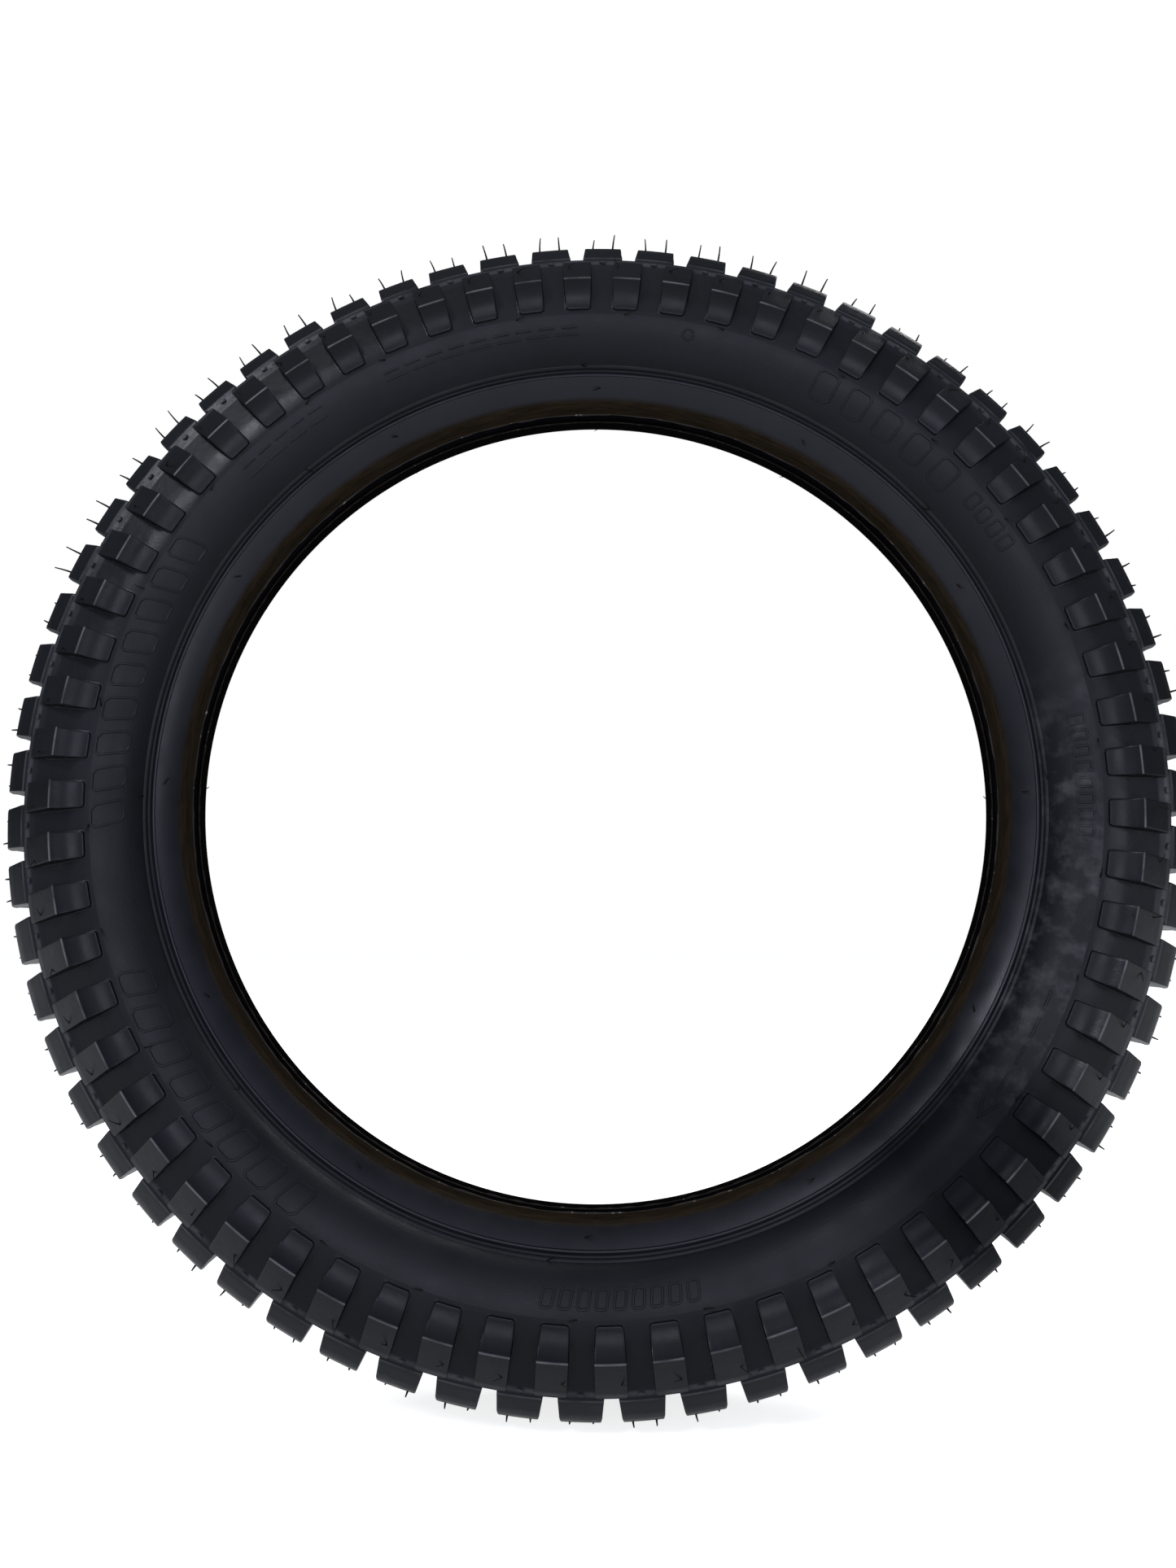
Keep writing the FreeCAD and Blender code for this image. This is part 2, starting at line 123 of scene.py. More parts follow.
NEAR_BEVEL = (0.09, 0.16)    # shares of the outer wall and of the facet's step that it takes
CREST_Y = 26.0
INNER_Y = 12.0
INTERMEDIATE_WIDTHS = ((231.0, 9.4), (240.0, 8.7), (CROWN_R, 7.7))
CENTRE_Y = 8.5
CENTRE_WIDTHS = ((243.0, 8.6), (246.0, 8.2), (CROWN_R, 7.2))
DRAFT = 1.2
BLOCK_COLUMNS = 3            # steps of a block along the tyre
BLOCK_CORNER = 1.2           # rounding of a block in plan
BLOCK_EDGE = 0.4             # rounding of a block's top edges
BLOCK_FOOT = 0.6             # fillet between a block and the floor
BLOCK_ROOT = 0.7             # how far a block runs into the floor
FOOT_SINK = 0.05             # how far the fillet's rim dips under the floor
NUB_PLACE = (31.6, 235.9)
NUB_SIZE = (1.8, 1.1, 1.0)

# Moulded marks on the sidewall, laid out flat and then wrapped round it
MARK_ANGLE = -28.0           # the marks' middle line on the sidewall arc
MARK_R = SIDE_C[1] + SIDE_R * math.sin(math.radians(MARK_ANGLE))
MARK_STEP = 3.0              # longest step of a mark's path
PLATE_CUT = 0.18             # cut corner of a plate, as a share of its shorter side
STROKE_SECTION = ((-0.65, -0.3), (-0.42, 0.26), (-0.28, 0.40),
                  (0.28, 0.40), (0.42, 0.26), (0.65, -0.3))
# Rows of plates: first and last angle, count, height on the wall, plate height, slant, filled share
PLATE_ROWS = ((213, 248, 8, 0.0, 12.5, 3.0, 0.62), (264, 302, 9, 0.0, 12.5, -3.0, 0.62),
              (28, 51, 5, 0.0, 12.0, 0.0, 0.6), (52.5, 61, 4, 1.5, 6.5, 0.0, 0.6),
              (82, 97, 8, 0.5, 6.0, 0.0, 0.55), (168, 186, 9, 0.0, 7.0, 1.0, 0.6))
# Rows of bars: first and last angle, count, height on the wall, filled share
BAR_ROWS = ((312, 325, 5, 3.2, 0.75), (312, 325, 4, -1.4, 0.8), (333, 359, 9, 1.8, 0.7),
            (333, 359, 7, -1.2, 0.8), (115, 129, 4, 0.0, 0.7))
ARROW_ANGLES = (131.5, 129.2)    # tip, tail
ARROW_HALF_WIDTH = 3.2
DOT = (12, 2.0, 2.3)         # angle, height on the wall, radius

# Vent hairs: places and directions are (y, r), offsets along the tyre are in millimetres
HAIR_R = 0.50
HAIR_TAPER = 0.45
HAIR_RINGS = 6
HAIR_SIDES = 6
HAIR_SINK = 0.4
HAIR_CLEARANCE = 0.5         # kept between a hair and the floor
SHORTEST_HAIR = 0.6
BLOCK_HAIR_Y = 18.0
BLOCK_HAIR_OFFSETS = (-4.9, 4.3)
LUG_HAIR_OFFSET = -4.0
LUG_HAIR_PLACE = (36.2, 230.6)
LUG_HAIR_UP = (0.83, 0.56)
LUG_HAIR_LENGTHS = (3.6, 3.0, 2.4, 4.0)
SIDE_HAIR_LENGTHS = (2.4, 3.6)
SIDE_HAIR_ROWS = ((26, -8), (8, RIM_LINE_END))   # count, angle on the sidewall arc
FLANGE_HAIRS = 12
FLANGE_HAIR_PLACE = (17.6, 183.6)
FLANGE_HAIR_UP = (0.72, -0.69)

# Mould flash on the bead toes, as (y, r) from the toe
FLASH_FOOT = ((-0.02, 0.25), (0.45, 0.02))
FLASH_TIP_Y = -0.1
FLASH_DEPTH = 0.55

# Paint
RANGE_SOCKETS = ("From Min", "From Max", "To Min", "To Max")
SHINE_TINT = (0.86, 0.88, 1.0, 1.0)
# Stretches of the tyre, in radians from the top: (start, full), (end, full)
# painted shade: the stretch low on the right where the shine is cut down, so the rubber renders
# dark as if in shadow
SHADE_PAINTED_STRETCH = ((2.12, 2.24), (2.66, 2.46))
SCUFFED_STRETCH = ((1.30, 1.55), (2.35, 2.10))
SHINE_UNDER_PAINTED_SHADE = 0.22            # share of the shine left on the stretch of painted shade
# Corners painted pale as painted highlights, where the edges would catch the light: (y, r) place,
# reach across the tyre and along the radius, colour
HIGHLIGHT_PAINTED_CORNERS = ((LUG_EDGE, (0.8, 0.55), (0.110, 0.112, 0.125)),
                  (NEAR_TOP, (0.5, 0.6), (0.045, 0.046, 0.052)),
                  (NUB_PLACE, (2.4, 1.3), (0.040, 0.041, 0.047)))

# Surroundings, in metres
FLOOR_SIZE = 12.0
FLOOR_GLOW = (0.20, 0.78)    # as the tyre sees it, and as the camera does
GLOW_COLOUR = (0.80, 0.87, 1.0, 1.0)
GLOW_FADE = (-0.2, -0.92, 0.12, 0.95)    # two directions along Y, and the glow from each
CAMERA_PLACE = (0.00355, -0.42586, -0.05957)
CAMERA_TURN = (98.37, 0.0, 0.80)
LENS, SENSOR = 22.05, 36.0


# ---- sections -------------------------------------------------------------------------------

def arc(centre, radius, first, last, steps):
    """Section points on an arc, from one angle to another, in degrees."""
    turn = np.radians(np.linspace(first, last, steps + 1))
    return np.stack([centre[0] + radius * np.cos(turn), centre[1] + radius * np.sin(turn)], 1)


def arc_point(centre, radius, angle):
    """The section point on an arc at one angle, in degrees."""
    return arc(centre, radius, angle, angle, 0)[0]


def three_point_arc(start, middle, end, steps):
    """Section points on the arc through three points."""
    (ax, ay), (bx, by), (cx, cy) = start, middle, end
    d = 2 * (ax * (by - cy) + bx * (cy - ay) + cx * (ay - by))
    a2, b2, c2 = ax * ax + ay * ay, bx * bx + by * by, cx * cx + cy * cy
    ux = (a2 * (by - cy) + b2 * (cy - ay) + c2 * (ay - by)) / d
    uy = (a2 * (cx - bx) + b2 * (ax - cx) + c2 * (bx - ax)) / d
    angles = [math.degrees(math.atan2(y - uy, x - ux)) for x, y in (start, middle, end)]
    sweep = (angles[2] - angles[0] + 180) % 360 - 180
    return arc((ux, uy), math.dist((ux, uy), start), angles[0], angles[0] + sweep, steps)


def line(start, end, steps=1):
    """Section points on a straight."""
    share = np.linspace(0, 1, steps + 1)[:, None]
    return np.asarray(start) * (1 - share) + np.asarray(end) * share


def path(*runs):
    """One chain of section points from several runs, without repeated points."""
    points = np.concatenate([np.asarray(run, float).reshape(-1, 2) for run in runs])
    keep = [0]
    for index in range(1, len(points)):
        if math.dist(points[index], points[keep[-1]]) > 0.01:
            keep.append(index)
    return points[keep]


def both_sides(chain):
    """A chain from the mid-plane outwards, with its mirror image walked inwards before it."""
    return path(chain[::-1] * (-1, 1), chain)


def floor_r(y):
    """Radius of the tread floor at y."""
    return FLOOR_C[1] + math.sqrt(FLOOR_ARC_R ** 2 - y ** 2)


def floor_angle(y):
    """Angle on the tread floor's arc at y."""
    return math.degrees(math.acos(y / FLOOR_ARC_R))


def top_r(y):
    """Radius of the block tops at y."""
    return TOP_C[1] + math.sqrt(TOP_ARC_R ** 2 - y ** 2)


def pad_foot():
    """The lower end of the raised floor between the lugs, and its angle on the floor's arc."""
    angle = math.degrees(math.asin((PAD_FOOT_R - FLOOR_C[1]) / FLOOR_ARC_R))
    return arc_point(FLOOR_C, FLOOR_ARC_R, angle), angle


def crown_arc(side_r, crown_r, last_angle, steps):
    """The crown arc and sidewall arc of one casing line, from the mid-plane down to an angle."""
    reach = crown_r - side_r
    centre = (reach ** 2 - SIDE_C[1] ** 2 - SIDE_C[0] ** 2) / (2 * (reach - SIDE_C[1]))
    join = math.degrees(math.atan2(SIDE_C[1] - centre, SIDE_C[0]))
    crown = arc((0, centre), crown_r - centre, 90, join, steps)
    return path(crown, arc(SIDE_C, side_r, join, last_angle, steps))


def tread_ring_section():
    """The tread compound without its blocks, as a closed outline."""
    foot, foot_angle = pad_foot()
    outer = path(arc(FLOOR_C, FLOOR_ARC_R, 90, floor_angle(PAD_INNER_Y), 12),
                 line((PAD_INNER_Y, floor_r(PAD_INNER_Y)), PAD_TOP), line(PAD_TOP, foot, 5),
                 arc(FLOOR_C, FLOOR_ARC_R, foot_angle, 0, 4), arc(SIDE_C, SIDE_R, 0, CAP_END, 2))
    inner = crown_arc(BASE_R, BASE_CROWN_R, CAP_END, 4)
    return path(both_sides(outer), both_sides(inner)[::-1])


def turn_up_point(depth, rise):
    """A point on the 45-degree outer leg of the bead's wraps."""
    corner = (BASE_CORNERS_Y[1], SEAT_R + BASE_CORNER_R)
    start = arc_point(corner, BASE_CORNER_R - depth, -45)
    return start + rise * math.sqrt(0.5)


def sidewall_section():
    """Sidewall rubber with its thin rim line, as a closed outline."""
    end = arc_point(SIDE_C, SIDE_R, RIM_LINE_END)
    outer = path(arc(SIDE_C, SIDE_R, CAP_END, RIM_LINE_END, 26),
                 three_point_arc(end, RIM_LINE_CREST, RIM_LINE_FOOT, 6), [GROOVE_FLOOR])
    inner = path([turn_up_point(PLY_DEPTH, TURN_UP)], [FILLER_TIP],
                 arc(SIDE_C, CASING_R, SLOPE_END, WING_END, 10),
                 arc(SIDE_C, BASE_R, WING_END, CAP_END, 2))
    return path(outer, inner)


def chafer_section():
    """The bead's base and flange, with its ridge, as a closed outline."""
    toe_c, heel_c = [(y, SEAT_R + BASE_CORNER_R) for y in BASE_CORNERS_Y]
    flange_c = arc_point(heel_c, BASE_CORNER_R - FLANGE_R, FLANGE_ANGLES[0])
    flange = arc(flange_c, FLANGE_R, *FLANGE_ANGLES, 10)
    outer = path(line((TOE_Y, CHAFER_TOP_R), (TOE_Y, SEAT_R), 3),
                 arc(heel_c, BASE_CORNER_R, -90, FLANGE_ANGLES[0], 3), flange,
                 three_point_arc(flange[-1], FLANGE_CREST, FLANGE_FOOT, 6), [GROOVE_FLOOR])
    skin = BASE_CORNER_R - PLY_DEPTH
    inner = path([turn_up_point(PLY_DEPTH, TURN_UP)], arc(heel_c, skin, -45, -90, 3),
                 arc(toe_c, skin, 270, 180, 4), [(TOE_Y + PLY_DEPTH, CHAFER_TOP_R)])
    return path(outer, inner)


# ---- meshes ---------------------------------------------------------------------------------

def new_object(name, points, faces):
    """A mesh object from points in millimetres, with its faces turned outwards."""
    mesh = bpy.data.meshes.new(name)
    mesh.from_pydata((np.asarray(points) * MM).tolist(), [], faces)
    work = bmesh.new()
    work.from_mesh(mesh)
    bmesh.ops.recalc_face_normals(work, faces=work.faces)
    work.to_mesh(mesh)
    work.free()
    made = bpy.data.objects.new(name, mesh)
    bpy.context.scene.collection.objects.link(made)
    return made


def revolved(section):
    """Points and faces of a closed outline swept round the axis."""
    count = len(section)
    turn = np.radians(np.arange(SEGMENTS) * 360.0 / SEGMENTS)
    y, r = section[:, 0], section[:, 1]
    points = np.stack([np.outer(np.sin(turn), r), np.tile(y, (SEGMENTS, 1)),
                       np.outer(np.cos(turn), r)], 2).reshape(-1, 3)
    faces = []
    for step in range(SEGMENTS):
        here, there = step * count, (step + 1) % SEGMENTS * count
        for index in range(count):
            after = (index + 1) % count
            faces.append((here + index, here + after, there + after, there + index))
    return points, faces


def turned_about_axis(points, degrees):
    """Points turned clockwise, seen from the -Y side."""
    c, s = math.cos(math.radians(degrees)), math.sin(math.radians(degrees))
    x, y, z = np.asarray(points).T
    return np.stack([x * c + z * s, y, z * c - x * s], 1)


def joined(parts):
    """Several (points, faces) lists as one."""
    points, faces, offset = [], [], 0
    for part_points, part_faces in parts:
        points.append(part_points)
        faces += [tuple(index + offset for index in face) for face in part_faces]
        offset += len(part_points)
    return np.concatenate(points), faces


def on_both_sides(part):
    """A part and its mirror image on the other side of the mid-plane."""
    points, faces = part
    return joined([part, (points * (1, -1, 1), faces)])


def round_the_tyre(part, phase):
    """A part at every pitch."""
    points, faces = part
    return joined([(turned_about_axis(points, phase + k * PITCH), faces) for k in range(PITCHES)])


def united(name, body, tools):
    """One closed mesh from a body and the solids moulded onto it."""
    base = new_object(name, *body)
    cutters = [new_object(name + "_tool", *tool) for tool in tools]
    for cutter in cutters:
        union = base.modifiers.new("union", "BOOLEAN")
        union.operation = "UNION"
        union.solver = "MANIFOLD"
        union.object = cutter
    evaluated = base.evaluated_get(bpy.context.evaluated_depsgraph_get())
    mesh = bpy.data.meshes.new_from_object(evaluated)
    made = bpy.data.objects.new(name, mesh)
    for spent in [base] + cutters:
        bpy.data.objects.remove(spent)
    made.name = name
    bpy.context.scene.collection.objects.link(made)
    return made


def shaded(made, sharp_angle=34):
    """Smooth faces between edges sharper than an angle."""
    mesh = made.data
    mesh.polygons.foreach_set("use_smooth", [True] * len(mesh.polygons))
    mesh.set_sharp_from_angle(angle=math.radians(sharp_angle))
    weighted = made.modifiers.new("weighted_normals", "WEIGHTED_NORMAL")
    weighted.keep_sharp = True
    return made


# ---- tread blocks ---------------------------------------------------------------------------

def lengths(chain):
    """Distance along a chain to each of its points."""
    return np.concatenate([[0], np.cumsum(np.hypot(*np.diff(chain, axis=0).T))])


def follow(chain, stations, u):
    """Points of a chain at distances u, carried straight on past both ends."""
    u = np.asarray(u, float)
    inside = np.stack([np.interp(u, stations, chain[:, k]) for k in (0, 1)], -1)
    start = (chain[1] - chain[0]) / (stations[1] - stations[0])
    end = (chain[-1] - chain[-2]) / (stations[-1] - stations[-2])
    before = np.minimum(u, 0)[..., None] * start
    after = np.maximum(u - stations[-1], 0)[..., None] * end
    return inside + before + after


def plan_loop(xs, us):
    """The outline of a block in plan: (x, u, dx, du, grid index) for each of its points."""
    columns = len(us)
    last_x, last_u = len(xs) - 1, columns - 1
    walk = [(i, 0) for i in range(last_x)] + [(last_x, j) for j in range(last_u)]
    walk += [(i, last_u) for i in range(last_x, 0, -1)] + [(0, j) for j in range(last_u, 0, -1)]
    loop = []
    for i, j in walk:
        dx = (i == last_x) - (i == 0)
        du = (j == last_u) - (j == 0)
        directions = [(dx, du)]
        if dx and du:
            middle = math.atan2(du, dx)
            directions = [(math.cos(middle + a), math.sin(middle + a))
                          for a in np.radians((-45, 0, 45))]
        loop += [(xs[i], us[j], d[0], d[1], i * columns + j) for d in directions]
    return np.array(loop)


def block_rows():
    """The rows of a block's wall: (from the floor or the top, distance, growth of the outline)."""
    rows = [("floor", -BLOCK_ROOT, BLOCK_FOOT), ("floor", -FOOT_SINK, BLOCK_FOOT)]
    for turn in np.radians((45, 90)):
        rows.append(("floor", BLOCK_FOOT * (1 - math.cos(turn)), BLOCK_FOOT * (1 - math.sin(turn))))
    for turn in np.radians((0, 45, 90)):
        rows.append(("top", BLOCK_EDGE * (1 - math.sin(turn)), -BLOCK_EDGE * (1 - math.cos(turn))))
    return rows


def moulded_block(top, floor, widths):
    """A block with rounded edges and a filleted foot, as points and faces.

    top and floor are chains of section points in pairs; widths gives half widths by radius."""
    stations = lengths(top)
    half = np.interp(top[:, 1].mean(), *zip(*widths))
    inner = half - BLOCK_CORNER
    xs = np.linspace(-inner, inner, BLOCK_COLUMNS + 1)
    us = np.concatenate([[BLOCK_CORNER], stations[1:-1], [stations[-1] - BLOCK_CORNER]])
    us = us[(us >= BLOCK_CORNER) & (us <= stations[-1] - BLOCK_CORNER)]

    def place(x, u, start, distance):
        high, low = follow(top, stations, u), follow(floor, stations, u)
        gap = np.hypot(*(high - low).T)[:, None]
        share = distance / gap if start == "floor" else 1 - distance / gap
        y, r = (low + share * (high - low)).T
        across = x * np.interp(r, *zip(*widths)) / half
        return np.stack([across, y, np.sqrt(r ** 2 - across ** 2)], 1)

    loop = plan_loop(xs, us)
    grid = np.array([(x, u) for x in xs for u in us])
    points = [place(*grid.T, "floor", -BLOCK_ROOT), place(*grid.T, "top", 0.0)]
    for start, distance, growth in block_rows():
        reach = BLOCK_CORNER + growth
        points.append(place(loop[:, 0] + reach * loop[:, 2], loop[:, 1] + reach * loop[:, 3],
                            start, distance))
    return np.concatenate(points), block_faces(len(xs), len(us), loop[:, 4].astype(int))


def block_faces(rows, columns, owners):
    """Faces of a block: two grids, the wall's rows, and the rims that tie them together."""
    size, around = rows * columns, len(owners)
    faces = []
    for offset in (0, size):
        for i in range(rows - 1):
            for j in range(columns - 1):
                a = offset + i * columns + j
                faces.append((a, a + 1, a + columns + 1, a + columns))
    first_ring = 2 * size
    rings = len(block_rows())
    last_ring = first_ring + (rings - 1) * around
    for k in range(around):
        after = (k + 1) % around
        for ring in range(rings - 1):
            a = first_ring + ring * around
            faces.append((a + k, a + after, a + around + after, a + around + k))
        for ring, offset in ((first_ring, 0), (last_ring, size)):
            face = [ring + k, ring + after, offset + owners[after]]
            if owners[after] != owners[k]:
                face.append(offset + owners[k])
            faces.append(tuple(face))
    return faces


def matched(floor_chain, shares):
    """Points of a chain at shares of its length."""
    stations = lengths(floor_chain)
    return follow(floor_chain, stations, np.asarray(shares) * stations[-1])


def lug():
    """Shoulder lug: flat top facet, crisp outer edge, hollow outer wall, rounded lower end."""
    wall = three_point_arc(LUG_EDGE, LUG_WALL_MID, LUG_LOW, 6)
    facet = line(LUG_INNER_TOP, LUG_EDGE, 2)
    near = facet[-1] + (facet[-2] - LUG_EDGE) * LUG_BEVEL[0]
    far = wall[0] + (wall[1] - LUG_EDGE) * LUG_BEVEL[1]
    top = path(facet[:-1], [near], [far], wall[1:])
    foot, foot_angle = pad_foot()
    low_angle = math.degrees(math.asin((LUG_LOW[1] - FLOOR_C[1]) / FLOOR_ARC_R))
    floor_chain = path([LUG_INNER_FOOT], line(PAD_TOP, foot, 8),
                       arc(FLOOR_C, FLOOR_ARC_R, foot_angle, low_angle, 4))
    stations = lengths(top)
    facet_end = stations[len(facet)]
    shares = np.interp(stations, (0, facet_end, stations[-1]), (0, LUG_FACET_SHARE, 1))
    return moulded_block(top, matched(floor_chain, shares), LUG_WIDTHS)


def intermediate_block():
    """Intermediate block: short outer wall, leaning facet, arched top, inner wall."""
    arched = [(y, top_r(y)) for y in np.linspace(CREST_Y, INNER_Y, 5)]
    facet = line(NEAR_TOP, arched[0], 3)
    below = facet[0] + (np.array(NEAR_FOOT) - NEAR_TOP) * NEAR_BEVEL[0]
    above = facet[0] + (facet[1] - facet[0]) * NEAR_BEVEL[1]
    top = path([below], [above], facet[1:], arched)
    foot_y = INNER_Y - DRAFT
    floor_arc = arc(FLOOR_C, FLOOR_ARC_R, floor_angle(PAD_INNER_Y), floor_angle(foot_y), 8)
    floor_chain = path([NEAR_FOOT], [PAD_TOP], floor_arc)
    stations = lengths(top)
    return moulded_block(top, matched(floor_chain, stations / stations[-1]), INTERMEDIATE_WIDTHS)


def centre_block():
    """Centre block: arched top and two leaning walls."""
    top = np.array([(y, top_r(y)) for y in np.linspace(-CENTRE_Y, CENTRE_Y, 6)])
    floor = np.array([(y, floor_r(y)) for y in top[:, 0] * (CENTRE_Y + DRAFT) / CENTRE_Y])
    return moulded_block(top, floor, CENTRE_WIDTHS)


def build_tread():
    """The tread compound with every block, as one closed mesh."""
    lugs = round_the_tyre(on_both_sides(lug()), LUG_PHASE)
    centres = round_the_tyre(centre_block(), INTERMEDIATE_PHASE)
    intermediates = round_the_tyre(on_both_sides(intermediate_block()), INTERMEDIATE_PHASE)
    ring = revolved(tread_ring_section())
    nubs = round_the_tyre(on_both_sides(nub()), INTERMEDIATE_PHASE)
    return shaded(united("tread", ring, [joined([lugs, centres]), intermediates, nubs]))


# ---- moulded marks --------------------------------------------------------------------------

def stroke(points, closed):
    """A raised bar along a flat path, as (s, v, height) points and faces."""
    points = finely(np.asarray(points, float), closed)
    ahead = np.roll(points, -1, axis=0) - points
    if not closed:
        ahead[-1] = ahead[-2]
    ahead /= np.hypot(*ahead.T)[:, None]
    behind = np.roll(ahead, 1, axis=0)
    if not closed:
        behind[0] = ahead[0]
    normals = np.stack([-ahead[:, 1] - behind[:, 1], ahead[:, 0] + behind[:, 0]], 1)
    normals /= (1 + (ahead * behind).sum(1))[:, None]
    rows = [np.column_stack([points + normals * offset, np.full(len(points), height)])
            for offset, height in STROKE_SECTION]
    count, wide = len(points), len(STROKE_SECTION)
    faces = []
    for k in range(count if closed else count - 1):
        after = (k + 1) % count
        for j in range(wide):
            other = (j + 1) % wide
            faces.append((j * count + k, j * count + after, other * count + after,
                          other * count + k))
    if not closed:
        faces += [tuple(j * count for j in range(wide)),
                  tuple(j * count + count - 1 for j in range(wide))]
    return np.concatenate(rows), faces


def finely(points, closed):
    """A path with its long stretches divided."""
    ends = np.concatenate([points, points[:1]]) if closed else points
    fine = []
    for a, b in zip(ends, ends[1:]):
        steps = max(1, math.ceil(math.dist(a, b) / MARK_STEP))
        fine += [a + (b - a) * k / steps for k in range(steps)]
    return np.array(fine if closed else fine + [ends[-1]])


def plate(s, v, width, height, slant):
    """The outline of a plate with cut corners, leaning by a slant."""
    w, h, c = width / 2, height / 2, min(width, height) * PLATE_CUT
    corners = ((-w + c, -h), (w - c, -h), (w, -h + c), (w, h - c),
               (w - c, h), (-w + c, h), (-w, h - c), (-w, -h + c))
    return [(s + x + slant * y / height, v + y) for x, y in corners]


def circle(s, v, radius):
    """The outline of a small round mark."""
    turn = np.radians(np.arange(0, 360, 30))
    return np.stack([s + radius * np.cos(turn), v + radius * np.sin(turn)], 1)


def row_of_plates(first, last, count, v, height, slant, share):
    """Outlined plates spread evenly between two angles round the tyre."""
    start, end = [math.radians(a) * MARK_R for a in (first, last)]
    step = (end - start) / count
    return [(plate(start + (k + 0.5) * step, v, step * share, height, slant), True)
            for k in range(count)]


def row_of_bars(first, last, count, v, share):
    """Short plain bars in a line round the tyre."""
    start, end = [math.radians(a) * MARK_R for a in (first, last)]
    step = (end - start) / count
    return [([(start + k * step, v), (start + (k + share) * step, v)], False)
            for k in range(count)]


def marks():
    """Every mark of one sidewall: blank plates, bars, an arrow and a dot, with no lettering."""
    made = []
    for row in PLATE_ROWS:
        made += row_of_plates(*row)
    for row in BAR_ROWS:
        made += row_of_bars(*row)
    tip, tail = [math.radians(a) * MARK_R for a in ARROW_ANGLES]
    arrow = [(tail, ARROW_HALF_WIDTH), (tip, 0.0), (tail, -ARROW_HALF_WIDTH)]
    angle, v, radius = DOT
    made.append((arrow, False))
    made.append((circle(math.radians(angle) * MARK_R, v, radius), True))
    return made


def on_sidewall(part, sign):
    """A flat part laid on a sidewall; sign is the side."""
    points, faces = part
    s, v, height = points.T
    across = math.radians(MARK_ANGLE) + v / SIDE_R
    y = SIDE_C[0] + (SIDE_R + height) * np.cos(across)
    r = SIDE_C[1] + (SIDE_R + height) * np.sin(across)
    turn = s / MARK_R
    return np.stack([r * np.sin(turn), sign * y, r * np.cos(turn)], 1), faces


# ---- vent hairs and flash -------------------------------------------------------------------

def hair(root, direction, lean, length, curl):
    """One thin tapering rubber hair that bends over to one side."""
    direction, lean = [np.asarray(v) / np.linalg.norm(v) for v in (direction, lean)]
    third = np.cross(direction, lean)
    points = []
    for k in range(HAIR_RINGS):
        share = k / (HAIR_RINGS - 1)
        centre = root + direction * (length * share - HAIR_SINK)
        centre = centre + lean * length * share ** 2 * curl
        width = HAIR_R * (1 - HAIR_TAPER * share)
        for turn in np.radians(np.arange(HAIR_SIDES) * 360 / HAIR_SIDES):
            points.append(centre + width * (lean * math.cos(turn) + third * math.sin(turn)))
    faces = [tuple(range(HAIR_SIDES)),
             tuple(range((HAIR_RINGS - 1) * HAIR_SIDES, HAIR_RINGS * HAIR_SIDES))]
    for k in range(HAIR_RINGS - 1):
        for j in range(HAIR_SIDES):
            a, b = k * HAIR_SIDES + j, k * HAIR_SIDES + (j + 1) % HAIR_SIDES
            faces.append((a, b, b + HAIR_SIDES, a + HAIR_SIDES))
    return np.array(points), faces


def rooted_hair(draw, angle, offset, place, normal, length, curl, flat):
    """A hair at a section point, offset along the tyre and laid over by the flat share."""
    y, r = place
    turn = math.radians(angle) + offset / r
    out = np.array([math.sin(turn), 0, math.cos(turn)])
    along = np.array([math.cos(turn), 0, -math.sin(turn)])
    up = out * normal[1] + np.array([0, normal[0], 0])
    lean = along * draw.uniform(-1, 1) + np.array([0, draw.uniform(-1, 1), 0]) * 0.8
    lean -= up * lean.dot(up) / up.dot(up)
    lean /= np.linalg.norm(lean)
    direction = up * (1 - flat) + lean * flat
    root = out * r + np.array([0, y, 0])
    room = CROWN_R + root[2] - HAIR_CLEARANCE
    if direction[2] < 0:
        length = min(length, room / (-direction[2] + curl))
    return hair(root, direction, lean, length, curl) if length > SHORTEST_HAIR else None


def mirrored(place, sign):
    """A (y, r) place or direction on one side of the tyre."""
    return sign * place[0], place[1]


def block_hair_length(draw, angle):
    """Long hairs along the upper part of the tread; worn and torn ones on the rest."""
    angle = (angle + 180) % 360 - 180
    if -70 < angle < 30:
        return draw.choice((7.8, 7.3, 6.9, 8.2, 5.6))
    if 30 < angle < 105:
        return draw.choice((2.6, 4.4, 5.6, 4.8))
    return draw.choice((0.9, 1.6, 2.4, 1.2, 3.0))


def tread_hairs():
    """Two hairs on each intermediate block and one on each lug."""
    draw = random.Random(14)
    made = []
    for k in range(PITCHES):
        for sign in (-1, 1):
            angle = INTERMEDIATE_PHASE + k * PITCH
            for offset in BLOCK_HAIR_OFFSETS:
                y = sign * (BLOCK_HAIR_Y + draw.uniform(-0.6, 0.6))
                made.append(rooted_hair(draw, angle, offset, (y, top_r(y)), (sign * 0.12, 0.99),
                                        block_hair_length(draw, angle), 0.10, 0.04))
            made.append(rooted_hair(draw, LUG_PHASE + k * PITCH, LUG_HAIR_OFFSET,
                                    mirrored(LUG_HAIR_PLACE, sign), mirrored(LUG_HAIR_UP, sign),
                                    draw.choice(LUG_HAIR_LENGTHS), 0.4, 0.55))
    return joined([part for part in made if part])


